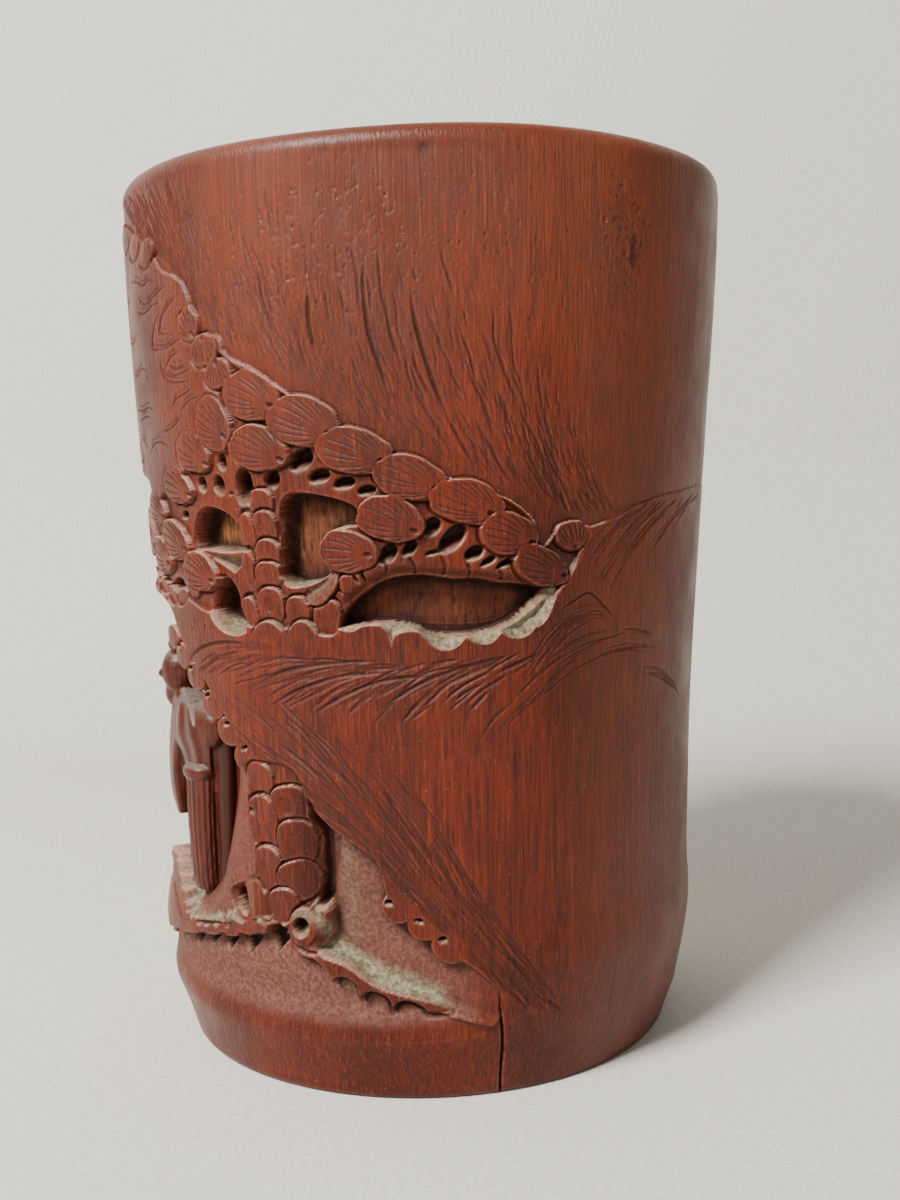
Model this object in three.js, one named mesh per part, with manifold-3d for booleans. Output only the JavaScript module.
// Carved bamboo brush pot: one culm section with a pine and figures cut into its wall, and a floor disc let into it.
// Units are millimetres, +Z up, origin at the middle of the foot. The carving is laid out on the unrolled wall:
// each point is [s, z], where s is the arc length at LAYOUT_RADIUS from the front (-Y), positive towards +X.

import * as THREE from "three";
import { mergeVertices } from "three/addons/utils/BufferGeometryUtils.js";
import Module from "manifold-3d";

const wasm = await Module();
wasm.setup();

// Driving dimensions
const HEIGHT = 150;
const LAYOUT_RADIUS = 50;
const RING_SEGMENTS = 72;
const OVAL_CURVE_SEGMENTS = 4;
const FOOT_INNER_RADIUS = 36.5;
const FLOOR_LEDGE_Z = 8;
const FLOOR_SEAT_RADIUS = 38.5;
const FLOOR_THICKNESS = 7;
const GLUE_GAP = 0.3;
const EDGE_CHAMFER = 0.8;

// Depths of the carving below the skin of the culm
const CAVE_DEPTH = 5;
const GROUND_DEPTH = 3.4;
const POCKET_DEPTH = 5.2;
const PIT_DEPTH = 3.2;
const FIGURE_SET_BACK = 0.8;
const DISH_START_Z = 10.5;
const DISH_SLOPE = 0.24;
const DISH_MAX_DEPTH = 2.8;

// Radial reach of a cutter, wide enough that its flat ends stay clear of the wall
const CUTTER_INNER_RADIUS = 28;
const CUTTER_OUTER_RADIUS = 120;
const SKIN_CLEARANCE_RADIUS = 57;

// Outer skin of the culm from the foot to the top of the wall: [radius, z]
const SKIN = [
  [43.6, EDGE_CHAMFER], [44.9, 6], [46.3, 13], [47.5, 22], [47.1, 32], [47.9, 60], [50.3, 100], [52.3, 137],
  [52.4, 146.4],
];

// Bore of the culm from the floor seat to the mouth: [radius, z]
const BORE = [
  [FLOOR_SEAT_RADIUS, FLOOR_LEDGE_Z], [FLOOR_SEAT_RADIUS, 18], [40.2, 80], [43.4, 145],
];

// Rounded lip between the skin and the bore: [radius, z]
const LIP = [
  [51.7, 148.9], [50.2, HEIGHT], [46.0, HEIGHT], [44.2, 148.8],
];

// Recess behind the scholar and the attendant, under the canopy
const CAVE = [
  [-63, 25], [-66, 30], [-68.5, 34.5], [-71.5, 34.5], [-74, 30], [-77, 25], [-84, 23.5], [-95, 23.5], [-106, 25],
  [-111, 33], [-113, 46], [-111, 60], [-107, 70], [-99, 77], [-88, 80.5], [-75, 81.5], [-63, 81.2], [-57, 80],
  [-53.5, 78.2], [-52, 76.4], [-57, 75.2], [-58.8, 72.6], [-57.2, 70.4], [-54.6, 70.2], [-53, 68], [-50, 67.2],
  [-49.4, 65.2], [-46, 63.6], [-45.2, 61.4], [-42, 60.4], [-40.6, 58], [-38, 56.6], [-37, 54.3], [-35.4, 52.6],
  [-33.8, 51.8], [-33.6, 46], [-33.4, 38], [-34, 34.6], [-38, 33.6], [-39.4, 31.2], [-38.2, 28.2], [-42, 26.2],
  [-47, 24.8], [-54, 23.6],
];

// Open ground to the right of the trunk, under the cliff edge
const GROUND = [
  [-22, 48.6], [-20, 47], [-17, 44.6], [-13, 42.6], [-10.2, 40.5], [-9, 37], [-9.2, 31], [-7, 29.9], [-5.6, 29.6],
  [-5.3, 28.2], [-3, 27.3], [-1.2, 26.8], [-1.6, 25], [-0.6, 23.8], [1.4, 23.3], [4.8, 23.6], [7.2, 21.5],
  [10, 18.4], [8, 16.6], [1.6, 16.2], [-3, 18.4], [-10, 21], [-17, 25], [-18.6, 28], [-19, 31.6], [-21.4, 33.2],
  [-20.3, 37], [-20.4, 43],
];

// Dished band between the ground line and the foot, fading out at its lower edge
const DISH = [
  [-112, 12], [-104, 10.6], [-60, 10.5], [-20, 10.5], [-4, 11.6], [0, 13], [6, 12.6], [11, 13.6], [10.4, 16.4],
  [2, 15.2], [-1, 15], [-3, 16.6], [-6.4, 15.9], [-8, 17.6], [-12.6, 17.2], [-13.6, 19.4], [-18, 19.8], [-19.4, 22.4],
  [-23, 23.8], [-27, 24.8], [-30, 23.6], [-33, 25.2], [-36, 23], [-38.4, 24.8], [-42, 22.2], [-44.4, 24], [-47.4, 21.6],
  [-50, 22.8], [-54, 20.8], [-60, 20.2], [-68, 18.4], [-78, 19], [-88, 18.2], [-98, 19.4], [-108, 18],
];

// Deep windows cut into the canopy
const WINDOWS = [
  [[-23.8, 83.2], [-23.9, 94.4], [-22.4, 96.8], [-19, 97.2], [-14, 96], [-10.8, 94.4], [-10.4, 92.2], [-14.4, 91.2],
    [-16.6, 89.4], [-17, 86.8], [-16, 84.8], [-19.4, 82.5]],
  [[-44.4, 88.6], [-42.4, 93.6], [-40.6, 95.2], [-37, 94.5], [-33, 92.7], [-30.8, 90.2], [-30.6, 88.2], [-37, 87.8]],
  [[-41, 75.4], [-39, 78], [-38.8, 82], [-36, 82.4], [-33.6, 81], [-32.2, 78.6], [-30.6, 74.8], [-36, 74.4]],
  [[-14.4, 77.6], [-12.4, 80.8], [-8, 83.1], [-3, 84.1], [3, 83.8], [9, 83.4], [15.4, 82.6], [20.6, 81.2],
    [19.4, 78.4], [16.6, 75.6], [13.5, 74.2], [11.2, 75.1], [8.8, 73.9], [5.6, 74.6], [3, 72.9], [0.6, 73.5],
    [-1.6, 75.4], [-4.4, 75.7], [-6, 74.3], [-8.6, 76.7], [-11.6, 75.8], [-15, 75.2]],
  [[-71, 88], [-72.5, 93], [-70, 96.5], [-64.5, 96], [-62.4, 92], [-64, 88.4]],
  [[-93, 85.4], [-92, 90.4], [-86, 92.4], [-79, 91.2], [-76.6, 87.6], [-80, 85], [-86, 84.4]],
];

// Small oval pits between the needle clusters: s, z, half length, half width, tilt in degrees
const PITS = [
  [-33.9, 101.9, 1.8, 1.2, 100], [-39.2, 98.6, 1.5, 1.3, 160], [-35.8, 98.5, 1.7, 1.5, 140], [-29.6, 97.6, 3.3, 2.1, 90],
  [-24.2, 98.7, 1.9, 1.4, 35], [-19, 101.6, 2.5, 1.7, 35], [-16.1, 99.6, 1.9, 1.2, 20], [-12.3, 98.2, 1.9, 1.2, 20],
  [-8.8, 97, 1.6, 1, 15], [-42.7, 96.2, 1.6, 0.8, 5], [-48.2, 94.2, 1, 0.8, 0], [-45, 93.6, 1.4, 0.9, 0],
  [-6.2, 87.5, 2, 1.2, 35], [-2.8, 88.4, 1.4, 0.9, 45], [0.5, 91.5, 2.1, 1.2, 45], [3.5, 89.4, 3, 1.5, 40],
  [7.2, 87.6, 1.7, 1.3, 25], [9.6, 86.2, 1.3, 0.8, 30], [12, 85.8, 1.5, 0.8, 25], [-48.3, 84.7, 1.5, 1.2, 90],
  [-52, 82.9, 1.9, 0.9, 5], [-60, 98, 1.9, 1.2, 20], [-66, 99.6, 1.8, 1.2, -20], [-75, 96, 2.2, 1.3, 60],
  [-80.6, 95, 1.9, 1.2, 10], [-86, 96, 1.9, 1.2, -15], [-96.4, 90, 2, 1.3, 50],
];

// Hollows in the two broken branch stumps at the foot of the trunk: s, z, half length, half width, tilt in degrees
const STUMP_HOLLOWS = [
  [-36.8, 30.8, 2.3, 1.7, 115], [-22.9, 28.6, 2.4, 1.5, 35],
];

// Figures left standing in the cave, and the young pine beside the attendant
const SCHOLAR = [
  [-58, 30.2], [-46.6, 31], [-45.4, 40], [-44.6, 50], [-44.4, 57], [-46, 61.6], [-50.6, 63.8], [-53, 66.4], [-56.6, 69.4],
  [-61, 69.6], [-64.4, 66.8], [-64.6, 63.4], [-64.4, 60], [-67, 54], [-67.6, 46], [-65.6, 42.4], [-62.6, 43.6],
  [-59.4, 45], [-58.8, 38],
];
const ATTENDANT = [
  [-89, 27.6], [-80, 27.6], [-79.6, 36], [-77.6, 42], [-79.4, 47.4], [-80.6, 50.4], [-82, 54.6], [-86, 54.8],
  [-87.8, 51.6], [-88.4, 48.4], [-90.8, 44], [-90, 36],
];
const YOUNG_PINE = [
  [-103.6, 23], [-97, 23], [-97.6, 36], [-96, 50], [-93.4, 62], [-92.4, 80.6], [-97, 80.6], [-98, 63], [-101, 50],
  [-102.6, 36],
];

// A three.js geometry as a manifold-3d solid.
function toSolid(geometry) {
  const bare = geometry.index ? geometry.toNonIndexed() : geometry.clone();
  bare.deleteAttribute("normal");
  bare.deleteAttribute("uv");
  const merged = mergeVertices(bare, 1e-4);
  return new wasm.Manifold(new wasm.Mesh({
    numProp: 3,
    vertProperties: new Float32Array(merged.attributes.position.array),
    triVerts: new Uint32Array(merged.index.array),
  }));
}

// A manifold-3d solid as a three.js geometry.
function toGeometry(solid) {
  const mesh = solid.getMesh();
  const positions = new Float32Array(mesh.numVert * 3);
  for (let i = 0; i < mesh.numVert; i++) {
    const start = i * mesh.numProp;
    positions.set(mesh.vertProperties.subarray(start, start + 3), i * 3);
  }
  return new THREE.BufferGeometry()
    .setAttribute("position", new THREE.BufferAttribute(positions, 3))
    .setIndex(new THREE.BufferAttribute(mesh.triVerts, 1));
}

// A solid of revolution about +Z from [radius, z] points that go round the section anticlockwise.
function turned(profile, closed) {
  const points = profile.map(([r, z]) => new THREE.Vector2(r, z));
  if (closed) points.push(points[0].clone());
  return new THREE.LatheGeometry(points, RING_SEGMENTS).rotateX(Math.PI / 2);
}

// The wall layer between the skin lowered by depth(z) and a cylinder outside the pot.
function layer(depth) {
  const lowered = SKIN.map(([r, z]) => [r - depth(z), z]);
  const bottom = [lowered[0][0], -1];
  const top = [lowered.at(-1)[0], HEIGHT + 1];
  const outside = [[SKIN_CLEARANCE_RADIUS, HEIGHT + 1], [SKIN_CLEARANCE_RADIUS, -1]];
  return toSolid(turned([...outside.reverse(), top, ...lowered.reverse(), bottom], true));
}

function ovalShape([s, z, halfLength, halfWidth, tilt]) {
  const shape = new THREE.Shape();
  shape.absellipse(s, z, halfLength, halfWidth, 0, 2 * Math.PI, false, THREE.MathUtils.degToRad(tilt));
  return shape;
}

// A block that stands radially through the wall over a shape drawn on the unrolled wall.
function radialBlock(shape, curveSegments) {
  const flat = new THREE.ExtrudeGeometry(shape, {
    depth: CUTTER_OUTER_RADIUS - CUTTER_INNER_RADIUS, bevelEnabled: false, curveSegments,
  });
  const p = flat.attributes.position;
  for (let i = 0; i < p.count; i++) {
    const angle = p.getX(i) / LAYOUT_RADIUS;
    const radius = CUTTER_INNER_RADIUS + p.getZ(i);
    p.setXYZ(i, radius * Math.sin(angle), -radius * Math.cos(angle), p.getY(i));
  }
  return toSolid(flat);
}

const outlineBlock = (points) => radialBlock(new THREE.Shape(points.map(([s, z]) => new THREE.Vector2(s, z))), 1);
const ovalBlock = (oval) => radialBlock(ovalShape(oval), OVAL_CURVE_SEGMENTS);

// The culm section with its bore, lip and floor ledge, before it is carved.
function plainCulm() {
  const section = [
    [FOOT_INNER_RADIUS, 0], [SKIN[0][0] - EDGE_CHAMFER, 0], ...SKIN, ...LIP, ...[...BORE].reverse(),
    [FOOT_INNER_RADIUS, FLOOR_LEDGE_Z],
  ];
  return toSolid(turned(section, true));
}

function carvedCulm() {
  const dishDepth = (z) => Math.min(Math.max((z - DISH_START_Z) * DISH_SLOPE, 0), DISH_MAX_DEPTH);

  let cave = outlineBlock(CAVE).intersect(layer(() => CAVE_DEPTH)).subtract(outlineBlock(YOUNG_PINE));
  for (const figure of [SCHOLAR, ATTENDANT]) {
    cave = cave.subtract(outlineBlock(figure).subtract(layer(() => FIGURE_SET_BACK)));
  }

  const cuts = [
    cave,
    outlineBlock(GROUND).intersect(layer(() => GROUND_DEPTH)),
    outlineBlock(DISH).intersect(layer(dishDepth)),
    ...WINDOWS.map((points) => outlineBlock(points).intersect(layer(() => POCKET_DEPTH))),
    ...[...PITS, ...STUMP_HOLLOWS].map((oval) => ovalBlock(oval).intersect(layer(() => PIT_DEPTH))),
  ];
  return cuts.reduce((culm, cut) => culm.subtract(cut), plainCulm());
}

// The floor disc drops in from the mouth on to the ledge and is glued round its edge.
function floorDisc() {
  const radius = FLOOR_SEAT_RADIUS - GLUE_GAP;
  const bottom = FLOOR_LEDGE_Z + GLUE_GAP;
  const top = bottom + FLOOR_THICKNESS;
  return turned([
    [0, bottom], [radius - EDGE_CHAMFER, bottom], [radius, bottom + EDGE_CHAMFER], [radius, top], [0, top],
  ], false);
}

const bambooFinish = new THREE.MeshStandardMaterial({ color: 0x8a3a20, roughness: 0.42, metalness: 0 });
const floorFinish = new THREE.MeshStandardMaterial({ color: 0x6b3f25, roughness: 0.6, metalness: 0 });

const culm = new THREE.Mesh(toGeometry(carvedCulm()), bambooFinish);
culm.name = "carved_culm";

const floor = new THREE.Mesh(floorDisc(), floorFinish);
floor.name = "floor_disc";

const brushPot = new THREE.Group();
brushPot.add(culm, floor);

export default brushPot;
